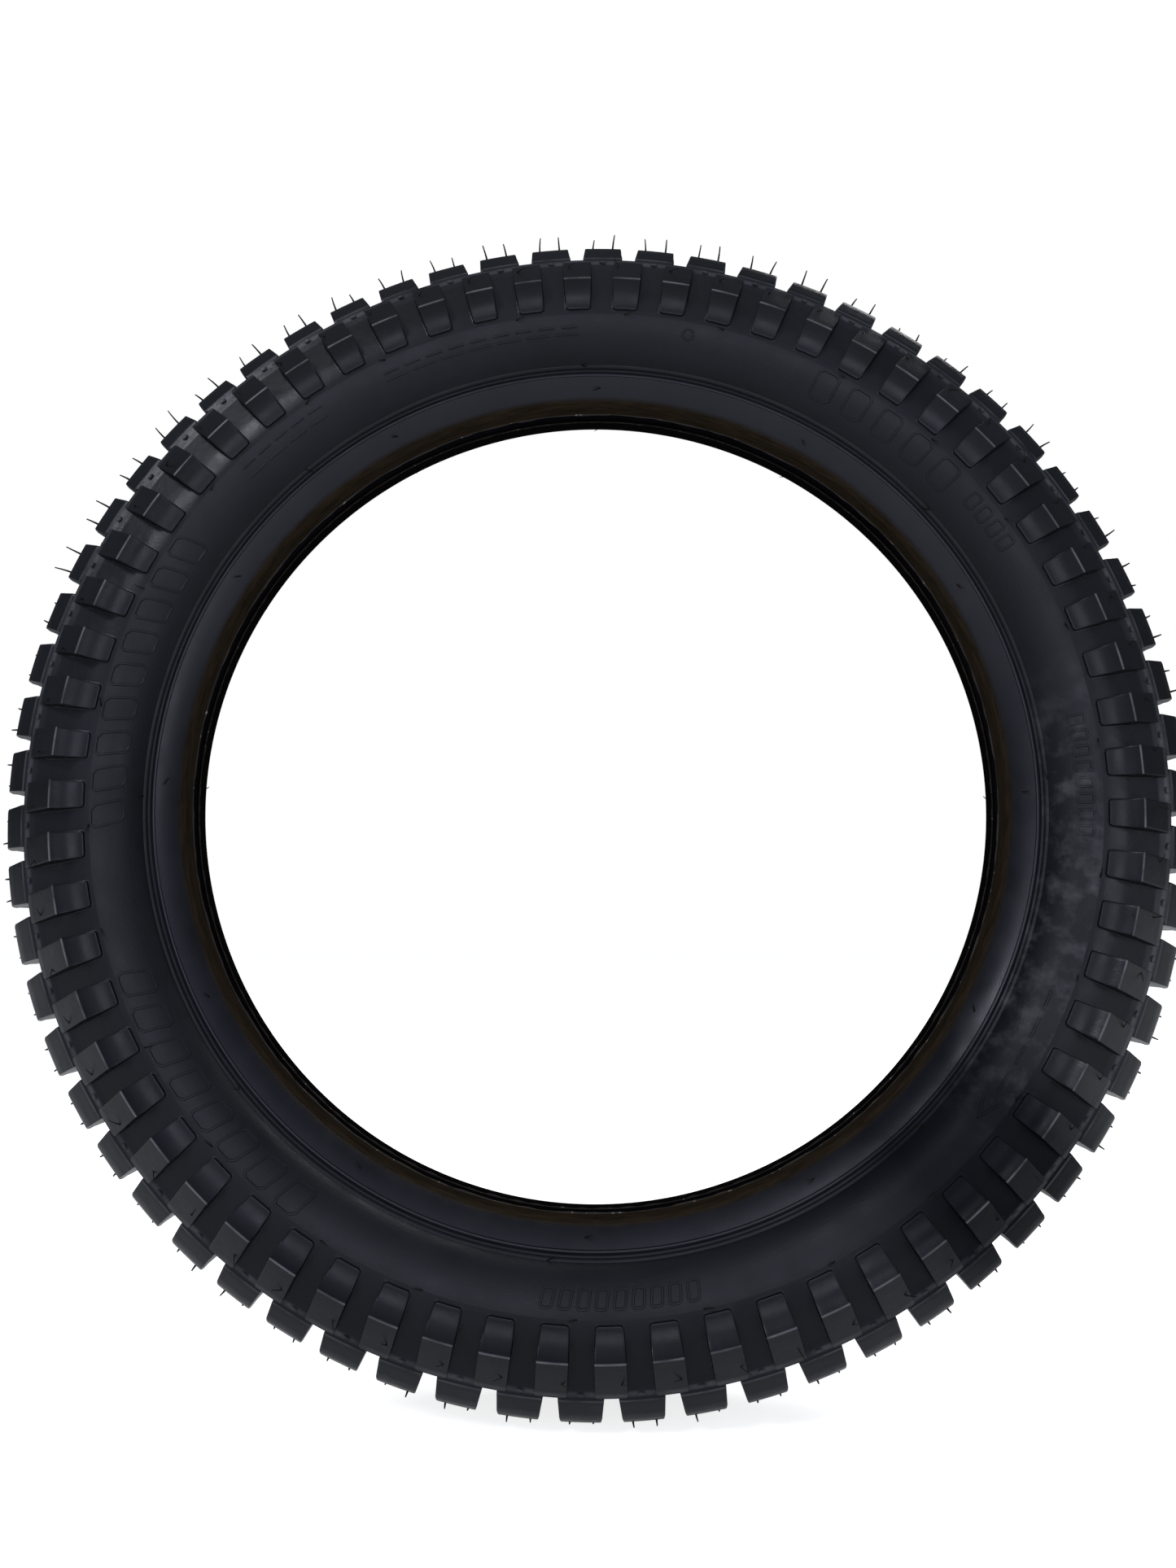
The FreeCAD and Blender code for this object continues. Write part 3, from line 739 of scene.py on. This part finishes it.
def side_hairs():
    """Short hairs on the sidewalls, on the rim lines and on the bead flanges."""
    draw = random.Random(275)
    made = []
    for sign in (-1, 1):
        for count, angle in SIDE_HAIR_ROWS:
            turn = math.radians(angle)
            place = arc_point(SIDE_C, SIDE_R, angle) * (sign, 1)
            for k in range(count):
                around = (k + draw.uniform(-0.12, 0.12)) * 360 / count + 3.0
                made.append(rooted_hair(draw, around, 0, place,
                                        (sign * math.cos(turn), math.sin(turn)),
                                        draw.uniform(*SIDE_HAIR_LENGTHS), 0.45, 0.5))
        for k in range(FLANGE_HAIRS):
            made.append(rooted_hair(draw, k * 360 / FLANGE_HAIRS + 1.0, 0,
                                    mirrored(FLANGE_HAIR_PLACE, sign),
                                    mirrored(FLANGE_HAIR_UP, sign),
                                    draw.uniform(*SIDE_HAIR_LENGTHS), 0.45, 0.45))
    return joined([part for part in made if part])


def toe_flash(sign):
    """The thin ragged fin of rubber that the mould leaves along a bead toe."""
    draw = random.Random(40 + sign)
    steps = 3 * SEGMENTS
    waves = [(draw.randint(20, 180), draw.uniform(0, 6.3)) for _ in range(9)]
    points, faces = [], []
    for k in range(steps):
        turn = 2 * math.pi * k / steps
        ragged = sum(math.sin(n * turn + phase) for n, phase in waves) / 3
        depth = FLASH_DEPTH * (0.55 + 0.45 * max(-1.0, min(1.0, ragged)))
        for y, r in (*FLASH_FOOT, (FLASH_TIP_Y, -depth)):
            points.append(((SEAT_R + r) * math.sin(turn), sign * (TOE_Y + y),
                           (SEAT_R + r) * math.cos(turn)))
        here, there = 3 * k, 3 * ((k + 1) % steps)
        faces += [(here + j, here + (j + 1) % 3, there + (j + 1) % 3, there + j)
                  for j in range(3)]
    return np.array(points), faces


def nub():
    """The small rounded nub at the foot of an intermediate block's outer wall."""
    work = bmesh.new()
    bmesh.ops.create_icosphere(work, subdivisions=1, radius=1.0)
    points = np.array([v.co[:] for v in work.verts]) * NUB_SIZE
    faces = [tuple(v.index for v in f.verts) for f in work.faces]
    work.free()
    y, r = NUB_PLACE
    return points + (0, y, r), faces


# ---- materials ------------------------------------------------------------------------------

class Painter:
    """The nodes of one material, on the coordinates of the tyre itself."""

    def __init__(self, name):
        self.material = bpy.data.materials.new(name)
        self.material.use_nodes = True
        self.tree = self.material.node_tree
        self.shader = self.tree.nodes["Principled BSDF"]
        self.place = self.add("ShaderNodeTexCoord").outputs["Object"]

    def add(self, kind, **settings):
        """A new node with its settings."""
        node = self.tree.nodes.new(kind)
        for key, value in settings.items():
            setattr(node, key, value)
        return node

    def link(self, source, target):
        """Join an output to an input."""
        self.tree.links.new(source, target)

    def math(self, operation, *values):
        """One sum on numbers or sockets."""
        node = self.add("ShaderNodeMath", operation=operation)
        for socket, value in zip(node.inputs, values):
            if isinstance(value, (int, float)):
                socket.default_value = value
            else:
                self.link(value, socket)
        return node.outputs[0]

    def noise(self, scale, detail=3.0, rough=0.55, place=None):
        """Soft noise between nought and one."""
        node = self.add("ShaderNodeTexNoise")
        self.link(place or self.place, node.inputs["Vector"])
        node.inputs["Scale"].default_value = scale
        node.inputs["Detail"].default_value = detail
        node.inputs["Roughness"].default_value = rough
        return node.outputs["Fac"]

    def spread(self, value, low, high, to_low=0.0, to_high=1.0):
        """A value mapped from one range to another, clamped."""
        node = self.add("ShaderNodeMapRange")
        self.link(value, node.inputs["Value"])
        for key, number in zip(RANGE_SOCKETS, (low, high, to_low, to_high)):
            node.inputs[key].default_value = number
        return node.outputs["Result"]

    def uneven(self, scale, low, high, detail=3.0):
        """A value that wanders between two in soft clouds."""
        return self.spread(self.noise(scale, detail), 0.3, 0.7, low, high)

    def mix(self, share, first, second):
        """A colour between two, each of them a tuple or a socket."""
        node = self.add("ShaderNodeMix", data_type="RGBA")
        self.link(share, node.inputs[0])
        sockets = [s for s in node.inputs if s.type == "RGBA"]
        for socket, value in zip(sockets, (first, second)):
            if isinstance(value, tuple):
                socket.default_value = (*value, 1.0)
            else:
                self.link(value, socket)
        return [s for s in node.outputs if s.type == "RGBA"][0]

    def clouded(self, scale, first, second):
        """Two colours in soft clouds."""
        return self.mix(self.uneven(scale, 0.0, 1.0, 4.0), first, second)

    def radius(self):
        """Distance from the wheel axis."""
        flat = self.add("ShaderNodeVectorMath", operation="MULTIPLY")
        self.link(self.place, flat.inputs[0])
        flat.inputs[1].default_value = (1.0, 0.0, 1.0)
        length = self.add("ShaderNodeVectorMath", operation="LENGTH")
        self.link(flat.outputs["Vector"], length.inputs[0])
        return length.outputs["Value"]

    def parts(self):
        """The X, Y and Z coordinates, in metres."""
        node = self.add("ShaderNodeSeparateXYZ")
        self.link(self.place, node.inputs[0])
        return node.outputs

    def slanted(self, along, across):
        """A phase that grows along and across the tyre, for lines laid at a slant."""
        return self.math("ADD", self.math("MULTIPLY", self.turn(), along),
                         self.math("MULTIPLY", self.parts()[1], across))

    def near(self, value, middle, reach):
        """One at a value, falling to nothing at a reach from it."""
        gap = self.math("ABSOLUTE", self.math("SUBTRACT", value, middle))
        return self.spread(gap, reach, 0.3 * reach)

    def corner(self, place, reaches):
        """A line round the tyre at one (y, r) place in mm, on both sides."""
        across = self.math("ABSOLUTE", self.parts()[1])
        return self.math("MULTIPLY", self.near(across, place[0] * MM, reaches[0] * MM),
                         self.near(self.radius(), place[1] * MM, reaches[1] * MM))

    def turn(self):
        """Angle round the tyre in radians, clockwise from the top."""
        x, _, z = self.parts()
        return self.math("ARCTAN2", x, z)

    def around(self, turns, across):
        """Coordinates for streaks that run round the tyre."""
        node = self.add("ShaderNodeCombineXYZ")
        self.link(self.math("MULTIPLY", self.turn(), turns), node.inputs["X"])
        self.link(self.math("MULTIPLY", self.radius(), across), node.inputs["Y"])
        self.link(self.math("MULTIPLY", self.parts()[1], across), node.inputs["Z"])
        return node.outputs["Vector"]

    def stretch(self, limits):
        """One on a stretch of the tyre, fading to nothing at its ends."""
        rise, fall = limits
        return self.math("MULTIPLY", self.spread(self.turn(), *rise),
                         self.spread(self.turn(), *fall))

    def shine_left_by_painted_shade(self):
        """Share of the shine that is left; on one stretch, low on the right, most of it is taken
        away as painted shade, so the rubber there renders dark as if in shadow.
        """
        return self.spread(self.stretch(SHADE_PAINTED_STRETCH), 0.0, 1.0, 1.0, SHINE_UNDER_PAINTED_SHADE)

    def bump(self, heights):
        """Bumps stacked on the normal: (height, depth in metres, strength) each."""
        normal = None
        for height, depth, strength in heights:
            node = self.add("ShaderNodeBump")
            node.inputs["Distance"].default_value = depth
            node.inputs["Strength"].default_value = strength
            self.link(height, node.inputs["Height"])
            if normal:
                self.link(normal, node.inputs["Normal"])
            normal = node.outputs["Normal"]
        self.link(normal, self.shader.inputs["Normal"])

    def finish(self, colour, rough, shine, share_left=None):
        """Join colour, roughness and shine to the shader, and give the material."""
        self.shader.inputs["Specular Tint"].default_value = SHINE_TINT
        self.link(colour, self.shader.inputs["Base Color"])
        self.link(rough, self.shader.inputs["Roughness"])
        # the socket keeps its own number too, since the export can't read a linked one
        self.shader.inputs["Specular IOR Level"].default_value = shine
        if share_left:
            self.link(self.math("MULTIPLY", share_left, shine),
                      self.shader.inputs["Specular IOR Level"])
        return self.material


def tread_rubber():
    """Satin black tread rubber, browned by dust on the tops of the blocks, with painted highlights
    along the lugs' outer edges, the intermediate blocks' outer top edges and the nubs.
    """
    p = Painter("tread_rubber")
    colour = p.mix(p.spread(p.noise(22.0), 0.35, 0.7),
                   (0.0030, 0.0032, 0.0045), (0.0058, 0.0060, 0.0086))
    dust = p.math("MULTIPLY", p.spread(p.radius(), 0.2490, 0.2545),
                  p.spread(p.noise(60.0), 0.25, 0.55))
    colour = p.mix(dust, colour, (0.034, 0.024, 0.017))
    # painted highlights: pale lines on the lugs' outer edges, the intermediate blocks' outer top
    # edges and the nubs
    for place, reaches, tone in HIGHLIGHT_PAINTED_CORNERS:
        painted_highlight = p.math("MULTIPLY", p.corner(place, reaches), p.spread(p.noise(75.0), 0.25, 0.6))
        colour = p.mix(painted_highlight, colour, tone)
    rough = p.uneven(90.0, 0.27, 0.40, 4.0)
    p.bump([(p.noise(160.0), 0.0003, 0.35), (p.noise(1400.0, 2.0), 0.00007, 0.45)])
    # painted shade: the shine is cut down on one stretch low on the right
    return p.finish(colour, rough, 0.215, p.shine_left_by_painted_shade())


def sidewall_rubber():
    """Satin black sidewall rubber with faint mould bloom and pale scuffs on one stretch."""
    p = Painter("sidewall_rubber")
    colour = p.clouded(16.0, (0.0042, 0.0044, 0.0062), (0.0078, 0.0081, 0.0112))
    streaks = p.spread(p.noise(1.6, 3.0, 0.6, p.around(14.0, 60.0)), 0.46, 0.72)
    fine = p.spread(p.noise(240.0, 2.0), 0.25, 0.70, 0.4, 1.0)
    scuff = p.math("MULTIPLY", p.math("MULTIPLY", streaks, fine), p.stretch(SCUFFED_STRETCH))
    colour = p.mix(scuff, colour, (0.050, 0.051, 0.058))
    flow = p.noise(30.0, 3.0, 0.5, p.around(1.5, 60.0))
    p.bump([(flow, 0.0003, 0.25), (p.noise(1300.0, 2.0), 0.00006, 0.45)])
    # painted shade: the shine is cut down on one stretch low on the right
    return p.finish(colour, p.uneven(55.0, 0.40, 0.56, 4.0), 0.25, p.shine_left_by_painted_shade())


def chafer_rubber():
    """Smooth bead rubber: bluish on the flange, stained brown with cloth marks on the base, with
    the far bead's base painted near-black as painted shade.
    """
    p = Painter("chafer_rubber")
    colour = p.clouded(26.0, (0.0052, 0.0055, 0.0082), (0.0085, 0.0088, 0.0128))
    base = p.spread(p.radius(), 0.1812, 0.1797)
    stain = p.mix(p.spread(p.noise(8.0, 5.0, 0.6, p.around(2.0, 90.0)), 0.35, 0.65),
                  (0.012, 0.009, 0.006), (0.024, 0.017, 0.011))
    # painted shade: the base of the bead on the +Y side, away from the camera, is painted
    # near-black
    far_bead_shade = p.spread(p.parts()[1], -0.0032, 0.0030)
    colour = p.mix(base, colour, p.mix(far_bead_shade, stain, (0.0035, 0.0030, 0.0028)))
    rough = p.uneven(70.0, 0.28, 0.42)
    cloth = p.math("MULTIPLY", p.math("SINE", p.math("MULTIPLY", p.turn(), 900.0)),
                   p.math("SINE", p.math("MULTIPLY", p.parts()[1], 5200.0)))
    p.bump([(p.noise(1200.0, 2.0), 0.00006, 0.4),
            (p.math("MULTIPLY", cloth, base), 0.00012, 0.5)])
    flange = p.spread(base, 0.0, 1.0, 1.0, 0.0)
    # painted shade: the shine on the flange is cut down on one stretch low on the right
    return p.finish(colour, rough, 0.36, p.math("MULTIPLY", p.shine_left_by_painted_shade(), flange))


def liner_rubber():
    """Matt liner with the crossing lines that the curing bladder leaves."""
    p = Painter("liner_rubber")
    colour = p.clouded(30.0, (0.008, 0.008, 0.009), (0.014, 0.013, 0.013))
    ridge = p.spread(p.math("SINE", p.slanted(260.0, 900.0)), 0.6, 1.0)
    p.bump([(ridge, 0.0003, 0.6), (p.noise(500.0), 0.0001, 0.5)])
    return p.finish(colour, p.uneven(50.0, 0.62, 0.8), 0.3)


def core_rubber():
    """Plain inner rubber, slightly mottled."""
    p = Painter("core_rubber")
    colour = p.clouded(40.0, (0.018, 0.017, 0.016), (0.034, 0.032, 0.030))
    p.bump([(p.noise(700.0, 2.0), 0.0001, 0.5)])
    return p.finish(colour, p.uneven(80.0, 0.55, 0.75), 0.3)


def casing_cord():
    """Nylon cords side by side in rubber, laid at a slant."""
    p = Painter("casing_cord")
    cord = p.spread(p.math("SINE", p.slanted(520.0, 2600.0)), -0.4, 0.8)
    colour = p.mix(cord, (0.020, 0.018, 0.016), (0.21, 0.16, 0.11))
    colour = p.mix(p.spread(p.noise(300.0), 0.45, 0.75), colour, (0.10, 0.08, 0.06))
    p.bump([(cord, 0.0003, 0.8), (p.noise(2200.0), 0.00005, 0.5)])
    return p.finish(colour, p.spread(cord, 0.0, 1.0, 0.75, 0.55), 0.3)


def bead_steel():
    """Bronze-coated bead wire with drawing lines."""
    p = Painter("bead_steel")
    draw_lines = p.noise(40.0, 3.0, 0.5, p.around(0.6, 400.0))
    colour = p.mix(p.spread(draw_lines, 0.35, 0.65), (0.42, 0.34, 0.24), (0.62, 0.50, 0.34))
    p.shader.inputs["Metallic"].default_value = 1.0
    p.bump([(draw_lines, 0.00003, 0.5)])
    return p.finish(colour, p.uneven(300.0, 0.25, 0.45), 0.5)


def flash_rubber():
    """Thin mould flash, pale where it has been torn and dusted."""
    p = Painter("flash_rubber")
    torn = p.spread(p.noise(300.0, 2.0), 0.64, 0.72)
    colour = p.mix(torn, (0.020, 0.016, 0.013), (0.22, 0.20, 0.18))
    p.bump([(p.noise(1500.0), 0.0001, 0.5)])
    return p.finish(colour, p.uneven(400.0, 0.5, 0.8), 0.3)


def hair_rubber():
    """The fine hairs' rubber, black with brown patches."""
    p = Painter("hair_rubber")
    colour = p.mix(p.spread(p.noise(120.0), 0.4, 0.65),
                   (0.004, 0.004, 0.004), (0.016, 0.011, 0.008))
    p.bump([(p.noise(2500.0), 0.00004, 0.4)])
    return p.finish(colour, p.uneven(500.0, 0.45, 0.65), 0.06)


# ---- the tyre -------------------------------------------------------------------------------

MATERIALS = {"tread_rubber": tread_rubber(), "sidewall_rubber": sidewall_rubber(),
             "chafer_rubber": chafer_rubber(), "liner_rubber": liner_rubber(),
             "core_rubber": core_rubber(), "casing_cord": casing_cord(),
             "bead_steel": bead_steel()}
FLASH_RUBBER = flash_rubber()
HAIR_RUBBER = hair_rubber()


def paint(made, material):
    """Give a piece one material all over."""
    made.data.materials.clear()
    made.data.materials.append(material)


def install(made, slot, replaced=(), material=None):
    """Put a new piece on the tyre's body, in the slot's material unless it has its own."""
    paint(made, material or MATERIALS[slot])
    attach(made, "root")
    if replaced:
        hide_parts(*replaced)


def paint_cad_nodes():
    """Every CAD node gets the material of its slot."""
    for subpart in frame["record"]["subparts"]:
        node = frame["nodes"][subpart["node"]]
        paint(node, MATERIALS[subpart["material_slot"]])


def build_tyre():
    """Every moulded piece of the outside, and the leftovers of the mould."""
    install(build_tread(), "tread_rubber", ["tread_cap"])
    flat_marks = [stroke(points, closed) for points, closed in marks()]
    for side, sign in (("left", 1), ("right", -1)):
        wall = revolved(sidewall_section() * (sign, 1))
        relief = joined([on_sidewall(part, sign) for part in flat_marks])
        install(shaded(united("moulded_sidewall_" + side, wall, [relief])),
                "sidewall_rubber", ["sidewall_" + side])
        bead = shaded(new_object("bead_" + side, *revolved(chafer_section() * (sign, 1))))
        install(bead, "chafer_rubber", ["bead_chafer_" + side])
        flash = shaded(new_object("toe_flash_" + side, *toe_flash(sign)))
        install(flash, "chafer_rubber", (), FLASH_RUBBER)
    install(shaded(new_object("tread_vent_hairs", *tread_hairs()), 60),
            "tread_rubber", (), HAIR_RUBBER)
    install(shaded(new_object("side_vent_hairs", *side_hairs()), 60),
            "sidewall_rubber", (), HAIR_RUBBER)


# ---- floor, light and camera ----------------------------------------------------------------

def pale_floor():
    """A large pale floor under the tyre."""
    bpy.ops.mesh.primitive_plane_add(size=FLOOR_SIZE, location=(0, 0, -CROWN_R * MM))
    floor = bpy.context.object
    floor.name = "floor"
    p = Painter("pale_floor")
    colour = p.mix(p.noise(4.0), (0.86, 0.86, 0.86), (0.90, 0.90, 0.90))
    p.shader.inputs["Emission Color"].default_value = (1.0, 1.0, 1.0, 1.0)
    ray = p.add("ShaderNodeLightPath").outputs["Is Camera Ray"]
    p.link(p.spread(ray, 0.0, 1.0, *FLOOR_GLOW), p.shader.inputs["Emission Strength"])
    paint(floor, p.finish(colour, p.uneven(9.0, 0.7, 0.85), 0.2))


def add_light(name, kind, place, power, **settings):
    """A light aimed at the middle of the tyre."""
    data = bpy.data.lights.new(name, kind)
    data.energy = power
    for key, value in settings.items():
        setattr(data, key, value)
    light = bpy.data.objects.new(name, data)
    light.location = place
    light.rotation_euler = (-Vector(place)).to_track_quat("-Z", "Y").to_euler()
    bpy.context.scene.collection.objects.link(light)


def studio():
    """White surroundings for the eye; for the tyre a soft glow from the front that fades round."""
    world = bpy.data.worlds.new("studio")
    bpy.context.scene.world = world
    world.use_nodes = True
    nodes, links = world.node_tree.nodes, world.node_tree.links
    glow, white = nodes["Background"], nodes.new("ShaderNodeBackground")
    glow.inputs["Color"].default_value = GLOW_COLOUR
    white.inputs["Color"].default_value = (1.0, 1.0, 1.0, 1.0)
    place, split = nodes.new("ShaderNodeTexCoord"), nodes.new("ShaderNodeSeparateXYZ")
    fade = nodes.new("ShaderNodeMapRange")
    for key, value in zip(RANGE_SOCKETS, GLOW_FADE):
        fade.inputs[key].default_value = value
    ray, both = nodes.new("ShaderNodeLightPath"), nodes.new("ShaderNodeMixShader")
    links.new(place.outputs["Generated"], split.inputs[0])
    links.new(split.outputs["Y"], fade.inputs["Value"])
    links.new(fade.outputs["Result"], glow.inputs["Strength"])
    links.new(ray.outputs["Is Camera Ray"], both.inputs["Fac"])
    links.new(glow.outputs[0], both.inputs[1])
    links.new(white.outputs[0], both.inputs[2])
    links.new(both.outputs[0], nodes["World Output"].inputs["Surface"])
    bpy.context.scene.view_settings.view_transform = "Standard"


def photograph_camera():
    """A close, slightly low camera that looks up a little, with the tyre filling the frame."""
    data = bpy.data.cameras.new("camera")
    data.sensor_width = SENSOR
    data.lens = LENS
    camera = bpy.data.objects.new("camera", data)
    camera.location = CAMERA_PLACE
    camera.rotation_euler = [math.radians(a) for a in CAMERA_TURN]
    bpy.context.scene.collection.objects.link(camera)
    bpy.context.scene.camera = camera


paint_cad_nodes()
build_tyre()
pale_floor()
studio()
add_light("sky", "SUN", (-0.4, -1.1, 2.2), 0.14, angle=math.radians(60))
add_light("front", "AREA", (0.0, -2.2, 0.25), 5.0, shape="DISK", size=0.85)
add_light("back", "AREA", (0.9, 1.5, 1.8), 18.0, shape="DISK", size=1.1)
add_light("fill", "AREA", (1.4, -1.6, -0.05), 5.5, shape="DISK", size=0.9)
add_light("key", "AREA", (-1.3, -1.6, 1.4), 17.0, shape="DISK", size=0.5)
photograph_camera()
